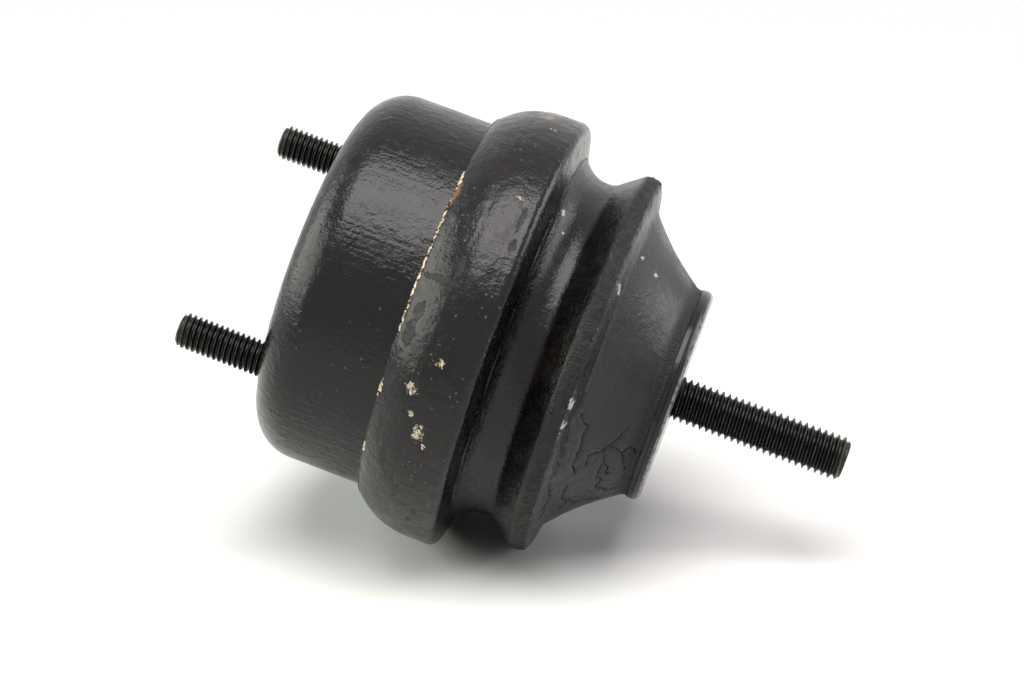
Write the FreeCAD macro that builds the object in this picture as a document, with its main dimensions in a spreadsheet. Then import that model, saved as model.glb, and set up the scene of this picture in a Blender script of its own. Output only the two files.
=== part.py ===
"""Hydraulic engine mount: a drawn steel can with two base studs, a rubber spring on a bell-shaped
armature with one top stud, and between them the damping stack, all clamped by one rolled ring.

The frame: +Z runs up the top stud. The origin is the centre of the can's bottom face, which is
bolted down, and the base studs stand on the X axis. Lengths are in millimetres, angles in degrees.
"""
import FreeCAD, Part
import math
import os
import re
from collections import namedtuple

import Sketcher

SIZES = {
    # the can, drawn from sheet steel, and what is fixed in its bottom
    "can_radius": 42.75,
    "can_wall": 1.8,
    "can_corner": 10.0,
    "can_neck_fillet": 1.5,
    "rim_level": 37.2,
    "vent_radius": 2.5,
    "plate_thickness": 2.5,
    "plate_clearance": 0.35,
    "plate_margin": 0.4,
    "plate_vent_radius": 6.0,
    "base_stud_radius": 4.0,
    "base_stud_length": 20.3,
    "base_stud_inset": 3.75,
    "base_stud_chamfer": 0.9,
    "base_head_height": 3.0,
    # the rolled ring
    "ring_overhang": 7.25,
    "ring_wall": 1.5,
    "swell_radius": 18.4,
    "swell_rise": 3.8,
    "hem_angle": 46.0,
    "fold_slope": 14.5,
    "fold_width": 7.4,
    "fold_corner": 2.2,
    # the clamped stack, from the can's rim upwards
    "stack_clearance": 0.6,
    "hoop_thickness": 1.5,
    "hoop_depth": 4.2,
    "hoop_clearance": 0.4,
    "seal_thickness": 1.0,
    "track_flange": 1.9,
    "cover_thickness": 1.6,
    "land_thickness": 0.93,
    # the diaphragm
    "bellows_wall": 1.6,
    "bellows_lining": 1.2,
    "bellows_gap": 1.2,
    "bellows_throat": 5.0,
    "bellows_slant": 0.16,
    "bellows_splay": 1.2,
    "bellows_valley_inset": 7.45,
    "bellows_valley_width": 8.0,
    "bellows_valley_rise": 5.1,
    "bellows_crown_inset": 10.5,
    "bellows_crown_drop": 7.0,
    # the inertia track and the decoupler
    "track_clearance": 1.3,
    "track_depth": 9.4,
    "track_web": 6.0,
    "channel_width": 7.0,
    "channel_wall": 2.0,
    "channel_floor": 2.0,
    "channel_sweep": 330.0,
    "port_margin": 0.5,
    "port_turn": 8.0,
    "pocket_step": 1.0,
    "grid_thickness": 2.5,
    "grid_hole_radius": 2.8,
    "grid_margin": 6.5,
    "grid_inner_count": 6,
    "grid_outer_count": 12,
    "decoupler_clearance": 0.8,
    "decoupler_thickness": 3.4,
    "decoupler_float": 1.0,
    "decoupler_relief": 0.5,
    "decoupler_bead": 3.6,
    "rivet_radius": 1.5,
    "rivet_count": 4,
    "rivet_head_shoulder": 1.1,
    "rivet_head_height": 1.2,
    "rivet_clearance": 0.1,
    # the support ring bonded in the foot of the spring
    "support_wall": 2.0,
    "support_inset": 1.4,
    "support_rise": 1.1,
    "support_bend": 2.0,
    # the armature: end disc, conical wall and flange
    "spring_height": 38.8,
    "disc_radius": 24.5,
    "disc_height": 2.7,
    "disc_edge": 1.8,
    "roof_thickness": 6.0,
    "bell_wall": 4.5,
    "flange_rise": 0.2,
    "flange_thickness": 2.3,
    "bell_fillet": 2.0,
    # the rubber spring
    "skin": 1.5,
    "neck_step": 0.2,
    "neck_height": 1.2,
    "neck_fillet": 1.5,
    "foot_inset": 7.4,
    "foot_rise": 4.6,
    "foot_fillet": 3.0,
    "lip_inset": 5.6,
    "lip_rise": 6.7,
    "lip_height": 3.1,
    "lip_taper": 0.6,
    "lip_edge": 0.5,
    "lip_cover": 2.0,
    "waist_inset": 3.4,
    "waist_rise": 5.0,
    "waist_width": 4.7,
    "waist_low_fillet": 7.0,
    "waist_high_fillet": 3.5,
    "waist_cover": 2.4,
    "chamber_cover": 0.3,
    "chamber_shoulder": 12.5,
    "chamber_taper": 10.0,
    "chamber_knee_drop": 2.7,
    "chamber_crown_cover": 5.5,
    "chamber_fillet": 6.0,
    # the top stud
    "top_stud_radius": 5.0,
    "top_stud_length": 39.5,
    "top_stud_chamfer": 1.1,
    "top_head_height": 4.0,
    # the knurl that each stud is pressed in by, and the head behind it
    "knurl_rise": 0.6,
    "head_shoulder": 2.4,
}

# Radii and levels that follow from the sizes above: what fits another piece is worked out from it.
DERIVED = {
    # the can and its studs
    "can_bore": "can_radius - can_wall",
    "can_flat": "can_radius - can_corner",
    "base_stud_offset": "can_flat - base_stud_inset",
    "base_knurl_radius": "base_stud_radius + knurl_rise",
    "base_head_radius": "base_knurl_radius + head_shoulder",
    "plate_foot_radius": "can_flat - plate_clearance",
    "plate_radius": "base_stud_offset + base_head_radius + plate_margin",
    "head_level": "can_wall + plate_thickness",
    "head_top": "head_level + base_head_height",
    # the ring, and the flare of the can inside its swell
    "ring_radius": "can_radius + ring_overhang",
    "ring_bore": "ring_radius - ring_wall",
    "swell_level": "rim_level + swell_rise",
    "swell_centre": "ring_radius - swell_radius",
    "flare_outer": "swell_radius - ring_wall",
    "flare_inner": "flare_outer - can_wall",
    "flare_start": "swell_level - sqrt(flare_outer^2 - (can_radius - swell_centre)^2)",
    "flare_start_inner": "swell_level - sqrt(flare_inner^2 - (can_bore - swell_centre)^2)",
    "rim_outer": "swell_centre + sqrt(flare_outer^2 - swell_rise^2)",
    "rim_inner": "swell_centre + sqrt(flare_inner^2 - swell_rise^2)",
    "fold_radius": "ring_radius - fold_width",
    "fold_drop": "ring_wall / cos(fold_slope)",
    # the stack
    "stack_radius": "ring_bore - stack_clearance",
    "hem_level": "rim_level - hoop_depth",
    "hem_bore": "swell_centre + sqrt(flare_inner^2 - (swell_level - hem_level)^2)",
    "hoop_radius": "hem_bore - hoop_clearance - hoop_thickness",
    "seal_level": "rim_level + hoop_thickness",
    "track_level": "seal_level + seal_thickness",
    "cover_level": "track_level + track_flange",
    "cover_top": "cover_level + cover_thickness",
    "support_drop": "support_wall / cos(fold_slope)",
    "stack_slope": "(ring_wall + stack_clearance) * tan(fold_slope)",
    "fold_level": "cover_top + land_thickness + support_drop + fold_drop - stack_slope",
    # the track and what is in it
    "track_radius": "hoop_radius - bellows_lining - track_clearance",
    "track_foot": "cover_level - track_depth",
    "channel_outer": "track_radius - channel_wall",
    "channel_inner": "channel_outer - channel_width",
    "channel_centre": "(channel_inner + channel_outer) / 2",
    "port_radius": "channel_width / 2 - port_margin",
    "pocket_radius": "channel_inner - track_web",
    "pocket_depth": "decoupler_thickness + decoupler_float",
    "pocket_level": "cover_level - pocket_depth",
    "grid_foot": "pocket_level - grid_thickness",
    "grid_outer_pitch": "pocket_radius - grid_margin",
    "grid_inner_pitch": "grid_outer_pitch / 2",
    "decoupler_radius": "pocket_radius - decoupler_clearance",
    "rivet_pitch": "(pocket_radius + channel_inner) / 2",
    "rivet_head_radius": "rivet_radius + rivet_head_shoulder",
    # the diaphragm
    "bellows_valley_radius": "can_bore - bellows_valley_inset",
    "bellows_valley_level": "head_top + bellows_valley_rise + bellows_wall",
    "bellows_crown_radius": "bellows_valley_radius - bellows_crown_inset",
    "bellows_crown_level": "track_foot - bellows_crown_drop",
    "bellows_bend": "2 * bellows_wall",
    "bellows_bend_outer": "3 * bellows_wall",
    "bellows_tuck": "bellows_lining / 3",
    # the rubber spring and what is bonded in it
    "waist_radius": "fold_radius - waist_inset",
    "waist_low": "fold_level + waist_rise",
    "waist_high": "waist_low + waist_width",
    "lip_radius": "ring_radius - lip_inset",
    "lip_level": "waist_high + lip_rise",
    "foot_radius": "lip_radius - foot_inset",
    "foot_level": "lip_level + foot_rise",
    "top_level": "fold_level + spring_height",
    "disc_foot": "top_level - disc_height",
    "roof_level": "top_level - roof_thickness",
    "neck_radius": "disc_radius - neck_step",
    "neck_level": "disc_foot - neck_height",
    "cone_slope": "(foot_radius - neck_radius) / (neck_level - foot_level)",
    "flange_radius": "lip_radius - lip_cover",
    "flange_level": "lip_level + flange_rise",
    "flange_top": "flange_level + flange_thickness",
    "support_knee_radius": "fold_radius - support_inset",
    "support_collar_radius": "waist_radius - waist_cover",
    "support_collar_level": "waist_low + support_rise",
    "chamber_radius": "support_collar_radius - support_wall - chamber_cover",
    "chamber_knee_radius": "chamber_radius - chamber_shoulder",
    "chamber_knee_level": "flange_level - chamber_knee_drop",
    "chamber_crown_radius": "chamber_knee_radius - chamber_taper",
    "chamber_crown_level": "roof_level - top_head_height - chamber_crown_cover",
    # the top stud
    "top_knurl_radius": "top_stud_radius + knurl_rise",
    "top_head_radius": "top_knurl_radius + head_shoulder",
}


def fold_top(across):
    """Height of the ring's folded face at a radius."""
    return f"(fold_level + (ring_radius - ({across})) * tan(fold_slope))"


def fold_under(across):
    """Height of the underside of the ring's folded face at a radius."""
    return f"({fold_top(across)} - fold_drop)"


def cone_radius(level):
    """Radius of the rubber-covered cone at a height."""
    return f"(neck_radius + (neck_level - ({level})) * cone_slope)"


def formula(text):
    """A FreeCAD expression in which every named size reads its cell of the sheet."""

    def expand(match):
        word = match.group()
        if word in DERIVED:
            return "(" + formula(DERIVED[word]) + ")"
        if word in SIZES:
            return "size." + word
        return word

    return re.sub(r"[a-z][a-z_]+", expand, str(text))


# ---------------------------------------------------------------- the document and its helpers

doc = FreeCAD.newDocument("engine_mount")
sheet = doc.addObject("Spreadsheet::Sheet", "size")
for row, (alias, number) in enumerate(SIZES.items(), start=1):
    sheet.set(f"A{row}", alias)
    sheet.set(f"B{row}", str(number))
    sheet.setAlias(f"B{row}", alias)
doc.recompute()

# A corner of an outline: its place, the radius that rounds it, and the radius of the arc that runs
# from it to the next corner, positive when the arc turns anticlockwise.
Corner = namedtuple("Corner", "across up round arc", defaults=(None, None))
Spot = FreeCAD.Vector
START, END, CENTRE = 1, 2, 3
ORIGIN, X_AXIS, Y_AXIS = (-1, 1), -1, -2


def number(text):
    """The present value of a formula."""
    value = sheet.evalExpression(formula(text))
    return float(getattr(value, "Value", value))


def bind(sketch, kind, *where, to):
    """Add one dimension to a sketch and bind it to a formula."""
    index = sketch.addConstraint(Sketcher.Constraint(kind, *where, number(to)))
    sketch.setExpression(f"Constraints[{index}]", formula(to))


def place(sketch, item, end, across, up):
    """Hold one point of a sketch at its place."""
    for kind, axis, text in (("DistanceX", Y_AXIS, across), ("DistanceY", X_AXIS, up)):
        if str(text) == "0":
            sketch.addConstraint(Sketcher.Constraint("PointOnObject", item, end, axis))
        else:
            bind(sketch, kind, *ORIGIN, item, end, to=text)


def arc_through(start, end, radius):
    """The smaller arc from start to end, anticlockwise for a positive radius."""
    if radius < 0:
        start, end = end, start
    chord = end - start
    middle = (start + end) / 2
    rise = math.sqrt(radius ** 2 - (chord.Length / 2) ** 2)
    centre = middle + Spot(-chord.y, chord.x, 0) * (rise / chord.Length)
    angles = [math.atan2(p.y - centre.y, p.x - centre.x) for p in (start, end)]
    return Part.ArcOfCircle(Part.Circle(centre, Spot(0, 0, 1), abs(radius)), *angles)


def draw(sketch, corners):
    """Draw one closed outline whose every dimension is bound to the sheet."""
    spots = [Spot(number(c.across), number(c.up), 0) for c in corners]
    count = len(corners)
    # where each straight run is cut back for the arcs that round its corners
    cuts = []
    for i, corner in enumerate(corners):
        if corner.round is None:
            cuts.append(0.0)
            continue
        before = spots[i - 1] - spots[i]
        after = spots[(i + 1) % count] - spots[i]
        cuts.append(number(corner.round) / math.tan(before.getAngle(after) / 2))
    runs = []
    for i, corner in enumerate(corners):
        j = (i + 1) % count
        way = (spots[j] - spots[i]).normalize()
        first = spots[i] + way * cuts[i]
        last = spots[j] - way * cuts[j]
        if corner.arc is None:
            runs.append((sketch.addGeometry(Part.LineSegment(first, last)), START, END))
            continue
        radius = number(corner.arc)
        ends = (START, END) if radius > 0 else (END, START)
        runs.append((sketch.addGeometry(arc_through(first, last, radius)), *ends))
        bind(sketch, "Radius", runs[-1][0], to=corner.arc.lstrip("-"))
    for i, corner in enumerate(corners):
        before, _, before_end = runs[i - 1]
        after, after_start, _ = runs[i]
        if corner.round is None:
            joint = Sketcher.Constraint("Coincident", before, before_end, after, after_start)
            sketch.addConstraint(joint)
            place(sketch, after, after_start, corner.across, corner.up)
            continue
        round_corner(sketch, corner, spots, i, before, after, cuts[i])


def round_corner(sketch, corner, spots, i, before, after, cut):
    """Join two straight runs by an arc tangent to both, with their corner point held in place."""
    here, there = spots[i - 1] - spots[i], spots[(i + 1) % len(spots)] - spots[i]
    start = spots[i] + here.normalize() * cut
    end = spots[i] + there.normalize() * cut
    turn = 1 if here.cross(there).z < 0 else -1
    arc = sketch.addGeometry(arc_through(start, end, turn * number(corner.round)))
    near, far = (START, END) if turn > 0 else (END, START)
    sketch.addConstraint(Sketcher.Constraint("Tangent", before, END, arc, near))
    sketch.addConstraint(Sketcher.Constraint("Tangent", arc, far, after, START))
    bind(sketch, "Radius", arc, to=corner.round)
    point = sketch.addGeometry(Part.Point(spots[i]), True)
    sketch.addConstraint(Sketcher.Constraint("PointOnObject", point, START, before))
    sketch.addConstraint(Sketcher.Constraint("PointOnObject", point, START, after))
    place(sketch, point, START, corner.across, corner.up)


def new_body(label):
    """An empty body named after its sub-part."""
    body = doc.addObject("PartDesign::Body", label)
    body.Label = label
    return body


def new_sketch(body, role, name):
    """A sketch on one of the body's own origin planes."""
    sketch = body.newObject("Sketcher::SketchObject", f"{body.Label}_{name}")
    planes = [plane for plane in body.Origin.OriginFeatures if plane.Role == role]
    sketch.AttachmentSupport = [(planes[0], "")]
    sketch.MapMode = "FlatFace"
    return sketch


def turned(label, corners):
    """A body revolved about Z from an outline of (radius, height) corners."""
    body = new_body(label)
    sketch = new_sketch(body, "XZ_Plane", "profile")
    draw(sketch, corners)
    revolution = body.newObject("PartDesign::Revolution", f"{label}_turned")
    revolution.Profile = sketch
    revolution.ReferenceAxis = (sketch, ["V_Axis"])
    revolution.Angle = 360
    doc.recompute()
    return body


def drill(body, name, radius, pitch="0", turn="0", count=None):
    """Round holes along Z right through a body, one or a ring of them about its axis."""
    sketch = new_sketch(body, "XY_Plane", name)
    spot = Spot(number(f"({pitch}) * cos({turn})"), number(f"({pitch}) * sin({turn})"), 0)
    circle = Part.Circle(spot, Spot(0, 0, 1), number(radius))
    hole = sketch.addGeometry(circle)
    bind(sketch, "Radius", hole, to=radius)
    level = turn == "0"
    place(sketch, hole, CENTRE, pitch if level else f"({pitch}) * cos({turn})",
          "0" if level else f"({pitch}) * sin({turn})")
    pocket = body.newObject("PartDesign::Pocket", f"{body.Label}_{name}_cut")
    pocket.Profile = sketch
    pocket.Type = "ThroughAll"
    pocket.Midplane = True
    doc.recompute()
    if count is None:
        return
    pattern = body.newObject("PartDesign::PolarPattern", f"{body.Label}_{name}_ring")
    pattern.Originals = [pocket]
    pattern.Axis = (sketch, ["N_Axis"])
    pattern.Angle = 360
    pattern.Occurrences = int(number(count))
    pattern.setExpression("Occurrences", formula(count))
    body.Tip = pattern
    doc.recompute()


def circle_edges(shape, radius, level):
    """Names of the circular edges of a shape at a radius and a height."""
    names = []
    for index, edge in enumerate(shape.Edges, start=1):
        if not isinstance(edge.Curve, Part.Circle):
            continue
        off = abs(edge.Curve.Radius - number(radius)) + abs(edge.Curve.Center.z - number(level))
        if off < 0.001:
            names.append(f"Edge{index}")
    return names


def fillet(body, name, edges, radius):
    """Round edges of a body that are named by their circles' (radius, height)."""
    base = body.Tip
    names = [found for edge in edges for found in circle_edges(base.Shape, *edge)]
    feature = body.newObject("PartDesign::Fillet", f"{body.Label}_{name}")
    feature.Base = (base, names)
    feature.Radius = number(radius)
    feature.setExpression("Radius", formula(radius))
    doc.recompute()


# ---------------------------------------------------------------- the sub-parts


def make_lower_can():
    """Deep-drawn cup, flared at its mouth to sit in the swell of the ring."""
    can = turned("lower_can", [
        Corner("0", "0"),
        Corner("can_radius", "0", round="can_corner"),
        Corner("can_radius", "flare_start", arc="flare_outer"),
        Corner("rim_outer", "rim_level"),
        Corner("rim_inner", "rim_level", arc="-flare_inner"),
        Corner("can_bore", "flare_start_inner"),
        Corner("can_bore", "can_wall", round="can_corner - can_wall"),
        Corner("0", "can_wall"),
    ])
    drill(can, "vent", "vent_radius")
    drill(can, "stud_hole", "base_knurl_radius", "base_stud_offset", count="2")
    fillet(can, "neck", [("can_radius", "flare_start"), ("can_bore", "flare_start_inner")],
           "can_neck_fillet")
    return can


def make_stud_plate():
    """Plate on the can's floor, bevelled to clear its corner, that the base studs' heads bear on."""
    plate = turned("stud_plate", [
        Corner("plate_vent_radius", "can_wall"),
        Corner("plate_foot_radius", "can_wall"),
        Corner("plate_radius", "head_level"),
        Corner("plate_vent_radius", "head_level"),
    ])
    drill(plate, "stud_hole", "base_knurl_radius", "base_stud_offset", count="2")
    return plate


def make_base_stud(index, side):
    """Headed stud that stands down from the can on the given side of its axis."""
    stud = turned(f"base_stud_{index}", [
        Corner("0", "-base_stud_length"),
        Corner("base_stud_radius - base_stud_chamfer", "-base_stud_length"),
        Corner("base_stud_radius", "base_stud_chamfer - base_stud_length"),
        Corner("base_stud_radius", "0"),
        Corner("base_knurl_radius", "0"),
        Corner("base_knurl_radius", "head_level"),
        Corner("base_head_radius", "head_level"),
        Corner("base_head_radius", "head_top"),
        Corner("0", "head_top"),
    ])
    stud.setExpression("Placement.Base.x", formula(f"{side} * base_stud_offset"))
    return stud


def make_diaphragm_ring():
    """Steel hoop of L section that rests on the can's rim and carries the diaphragm."""
    return turned("diaphragm_ring", [
        Corner("hoop_radius", "hem_level"),
        Corner("hoop_radius + hoop_thickness", "hem_level"),
        Corner("hoop_radius + hoop_thickness", "rim_level"),
        Corner("stack_radius", "rim_level"),
        Corner("stack_radius", "seal_level"),
        Corner("hoop_radius", "seal_level", round="hoop_thickness"),
    ])


def make_diaphragm():
    """Rolling rubber diaphragm: a sealing land, a lined hoop, a deep valley and a raised crown."""
    valley_out = "bellows_valley_radius + bellows_valley_width / 2"
    valley_in = "bellows_valley_radius - bellows_valley_width / 2"
    lining = "hoop_radius - bellows_lining"
    throat = "can_bore - bellows_gap"
    return turned("diaphragm", [
        Corner("hoop_radius", "hem_level"),
        Corner("hoop_radius", "seal_level", round="hoop_thickness"),
        Corner("stack_radius", "seal_level"),
        Corner("stack_radius", "track_level"),
        Corner(lining, "track_level"),
        Corner(lining, "hem_level - bellows_tuck"),
        Corner(f"{throat} - bellows_wall - bellows_slant", "hem_level - bellows_throat",
               round="bellows_bend"),
        Corner(valley_out, "bellows_valley_level", round="bellows_bend"),
        Corner(valley_in, "bellows_valley_level", round="bellows_bend"),
        Corner("bellows_crown_radius", "bellows_crown_level", round="bellows_bend_outer"),
        Corner("0", "bellows_crown_level"),
        Corner("0", "bellows_crown_level - bellows_wall"),
        Corner("bellows_crown_radius - bellows_wall / 2", "bellows_crown_level - bellows_wall",
               round="bellows_bend"),
        Corner(f"{valley_in} - bellows_splay", "bellows_valley_level - bellows_wall",
               round="bellows_bend_outer"),
        Corner(f"{valley_out} + bellows_splay", "bellows_valley_level - bellows_wall",
               round="bellows_bend_outer"),
        Corner(throat, "hem_level - bellows_throat - bellows_tuck", round="bellows_bend"),
    ])


def make_track_plate():
    """Cast plate with the inertia track round its edge and the decoupler's pocket at its centre."""
    track = turned("track_plate", [
        Corner("0", "grid_foot"),
        Corner("pocket_radius - pocket_step", "grid_foot"),
        Corner("pocket_radius - pocket_step", "track_foot"),
        Corner("track_radius", "track_foot"),
        Corner("track_radius", "track_level"),
        Corner("stack_radius", "track_level"),
        Corner("stack_radius", "cover_level"),
        Corner("pocket_radius", "cover_level"),
        Corner("pocket_radius", "pocket_level"),
        Corner("0", "pocket_level"),
    ])
    cut_channel(track)
    drill(track, "port", "port_radius", "channel_centre", "port_turn")
    drill_grid(track)
    return track


def cut_channel(track):
    """The long channel: most of a turn, closed between its ends by a dividing wall."""
    sketch = new_sketch(track, "XZ_Plane", "channel")
    floor = "track_foot + channel_floor"
    draw(sketch, [
        Corner("channel_inner", floor),
        Corner("channel_outer", floor),
        Corner("channel_outer", "cover_level"),
        Corner("channel_inner", "cover_level"),
    ])
    groove = track.newObject("PartDesign::Groove", "track_plate_channel_cut")
    groove.Profile = sketch
    groove.ReferenceAxis = (sketch, ["V_Axis"])
    groove.Angle = number("channel_sweep")
    groove.setExpression("Angle", formula("channel_sweep"))
    doc.recompute()


def drill_grid(plate):
    """Grid of holes over the decoupler and the ring of rivet holes round it."""
    drill(plate, "grid_centre", "grid_hole_radius")
    drill(plate, "grid_inner", "grid_hole_radius", "grid_inner_pitch", count="grid_inner_count")
    drill(plate, "grid_outer", "grid_hole_radius", "grid_outer_pitch", count="grid_outer_count")
    drill(plate, "rivet_hole", "rivet_radius + rivet_clearance", "rivet_pitch",
          count="rivet_count")


def make_decoupler():
    """Rubber disc, thinner between its rim bead and its centre boss, loose in the pocket."""
    low, high = "pocket_level + decoupler_relief", "pocket_level + decoupler_thickness"
    web = "decoupler_radius - decoupler_bead"
    return turned("decoupler", [
        Corner("0", "pocket_level"),
        Corner("decoupler_bead", "pocket_level"),
        Corner("decoupler_bead", low),
        Corner(web, low),
        Corner(web, "pocket_level"),
        Corner("decoupler_radius", "pocket_level"),
        Corner("decoupler_radius", high),
        Corner(web, high),
        Corner(web, f"{high} - decoupler_relief"),
        Corner("decoupler_bead", f"{high} - decoupler_relief"),
        Corner("decoupler_bead", high),
        Corner("0", high),
    ])


def make_orifice_plate():
    """Flat cover of the track, with the grid and, at the channel's far end, its upper port."""
    cover = turned("orifice_plate", [
        Corner("0", "cover_level"),
        Corner("stack_radius", "cover_level"),
        Corner("stack_radius", "cover_top"),
        Corner("0", "cover_top"),
    ])
    drill(cover, "port", "port_radius", "channel_centre", "channel_sweep - port_turn")
    drill_grid(cover)
    return cover


def make_track_rivet(index):
    """Rivet that holds the cover on the track, one of an even ring."""
    rivet = turned(f"track_rivet_{index}", [
        Corner("0", "track_foot - rivet_head_height"),
        Corner("rivet_radius", "track_foot - rivet_head_height"),
        Corner("rivet_head_radius", "track_foot - rivet_head_height / 2"),
        Corner("rivet_head_radius", "track_foot"),
        Corner("rivet_radius", "track_foot"),
        Corner("rivet_radius", "cover_top"),
        Corner("rivet_head_radius", "cover_top"),
        Corner("rivet_head_radius", "cover_top + rivet_head_height / 2"),
        Corner("rivet_radius", "cover_top + rivet_head_height"),
        Corner("0", "cover_top + rivet_head_height"),
    ])
    turn = f"{index - 1} * 360 / rivet_count"
    rivet.setExpression("Placement.Base.x", formula(f"rivet_pitch * cos({turn})"))
    rivet.setExpression("Placement.Base.y", formula(f"rivet_pitch * sin({turn})"))
    return rivet


def make_support_ring():
    """Pressed ring: a foot under the fold and a steep collar that the rubber is bonded to."""
    knee = ("support_knee_radius", fold_under("support_knee_radius"))
    run = "support_knee_radius - support_collar_radius"
    rise = f"(atan2(support_collar_level - {knee[1]}; {run}) / 1 deg)"
    mitre = f"support_wall / (1 + cos({rise} - fold_slope))"
    return turned("support_ring", [
        Corner("stack_radius", f"{fold_under('stack_radius')} - support_drop"),
        Corner("stack_radius", fold_under("stack_radius")),
        Corner(*knee, round="support_bend"),
        Corner("support_collar_radius", "support_collar_level"),
        Corner(f"support_collar_radius - support_wall * sin({rise})",
               f"support_collar_level - support_wall * cos({rise})"),
        Corner(f"support_knee_radius - {mitre} * (sin({rise}) + sin(fold_slope))",
               f"{knee[1]} - {mitre} * (cos({rise}) + cos(fold_slope))",
               round="support_bend + support_wall"),
    ])


def make_armature():
    """Bell that carries the load: bare end disc, conical wall and a flange inside the lip."""
    neck = "neck_radius - skin"
    inside = "skin + bell_wall"
    bell = turned("armature", [
        Corner("0", "top_level"),
        Corner("0", "roof_level"),
        Corner(f"{cone_radius('roof_level')} - ({inside})", "roof_level", round="bell_fillet"),
        Corner(f"{cone_radius('flange_level')} - ({inside})", "flange_level",
               round="bell_fillet"),
        Corner("flange_radius", "flange_level"),
        Corner("flange_radius", "flange_top"),
        Corner(f"{cone_radius('flange_top')} - skin", "flange_top", round="bell_fillet"),
        Corner(neck, "neck_level"),
        Corner(neck, "disc_foot"),
        Corner("disc_radius", "disc_foot"),
        Corner("disc_radius", "top_level", round="disc_edge"),
    ])
    drill(bell, "stud_hole", "top_knurl_radius")
    return bell


def make_top_stud():
    """Headed stud pressed up through the armature's roof."""
    tip = "top_level + top_stud_length"
    return turned("top_stud", [
        Corner("0", "roof_level - top_head_height"),
        Corner("top_head_radius", "roof_level - top_head_height"),
        Corner("top_head_radius", "roof_level"),
        Corner("top_knurl_radius", "roof_level"),
        Corner("top_knurl_radius", "top_level"),
        Corner("top_stud_radius", "top_level"),
        Corner("top_stud_radius", f"{tip} - top_stud_chamfer"),
        Corner("top_stud_radius - top_stud_chamfer", tip),
        Corner("0", tip),
    ])


def make_rubber_spring(*inserts):
    """Moulded rubber: sealing land, waist, lip and the skin of the cone, bonded to its inserts."""
    blank = turned("spring_blank", [
        Corner("chamber_radius", "cover_top"),
        Corner("stack_radius", "cover_top"),
        Corner("stack_radius", f"{fold_under('stack_radius')} - support_drop / 2"),
        Corner("fold_radius", f"{fold_under('fold_radius')} - support_drop / 2"),
        Corner("fold_radius", fold_top("fold_radius")),
        Corner("waist_radius", "waist_low", round="waist_low_fillet"),
        Corner("waist_radius", "waist_high", round="waist_high_fillet"),
        Corner("lip_radius", "lip_level", round="lip_edge"),
        Corner("lip_radius - lip_taper", "lip_level + lip_height", round="lip_edge"),
        Corner("foot_radius", "foot_level", round="foot_fillet"),
        Corner("neck_radius", "neck_level", round="neck_fillet"),
        Corner("neck_radius", "disc_foot"),
        Corner("0", "disc_foot"),
        Corner("0", "chamber_crown_level"),
        Corner("chamber_crown_radius", "chamber_crown_level", round="chamber_fillet"),
        Corner("chamber_knee_radius", "chamber_knee_level", round="chamber_fillet"),
    ])
    inside = doc.addObject("Part::MultiFuse", "spring_inserts")
    inside.Shapes = list(inserts)
    spring = doc.addObject("Part::Cut", "rubber_spring")
    spring.Base = blank
    spring.Tool = inside
    spring.Label = "rubber_spring"
    doc.recompute()
    return spring


def make_crimp_ring():
    """Rolled ring: its swell wraps the can's flare and its fold holds the stack down."""
    return turned("crimp_ring", [
        Corner("swell_centre + swell_radius * cos(hem_angle)",
               "swell_level - swell_radius * sin(hem_angle)", arc="swell_radius"),
        Corner("ring_radius", "swell_level"),
        Corner("ring_radius", "fold_level", round="fold_corner"),
        Corner("fold_radius", fold_top("fold_radius")),
        Corner("fold_radius", fold_under("fold_radius")),
        Corner("ring_bore", fold_under("ring_bore"), round="fold_corner - ring_wall"),
        Corner("ring_bore", "swell_level", arc="-flare_outer"),
        Corner("swell_centre + flare_outer * cos(hem_angle)",
               "swell_level - flare_outer * sin(hem_angle)"),
    ])


def make_parts():
    """Every sub-part of the mount, from the bottom up."""
    armature, top_stud, support = make_armature(), make_top_stud(), make_support_ring()
    parts = [make_lower_can(), make_stud_plate(), make_base_stud(1, 1), make_base_stud(2, -1)]
    parts += [make_diaphragm(), make_diaphragm_ring()]
    parts += [make_track_plate(), make_decoupler(), make_orifice_plate()]
    parts += [make_track_rivet(index + 1) for index in range(int(number("rivet_count")))]
    parts += [support, make_rubber_spring(armature, top_stud, support), armature, top_stud]
    parts.append(make_crimp_ring())
    return parts


def check(parts):
    """Stop before anything is written if an object failed or a shape isn't sound."""
    failed = [item.Label for item in doc.Objects if {"Invalid", "Error"} & set(item.State)]
    if failed:
        raise RuntimeError(f"not recomputed: {failed}")
    for part in parts:
        if part.Shape.isNull() or not part.Shape.isValid() or len(part.Shape.Solids) != 1:
            raise RuntimeError(f"{part.Label} is not one sound solid")


def main():
    parts = make_parts()
    doc.recompute()
    check(parts)
    os.makedirs("parts", exist_ok=True)
    for part in parts:
        part.Shape.exportStep(os.path.join("parts", f"{part.Label}.step"))


main()
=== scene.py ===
"""A hydraulic engine mount that lies on its side on a white table.

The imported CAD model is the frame: +Z runs up the top stud and the origin is the centre of the bolted
face. Here it gets its finish, its threads and its wear, and a table, soft lamps and a camera. Places
on the mount are given as an angle round its axis, in degrees from +X, and a height in millimetres.
"""
import math
from collections import namedtuple

import bmesh
import bpy
from mathutils import Matrix, Vector, noise


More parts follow.
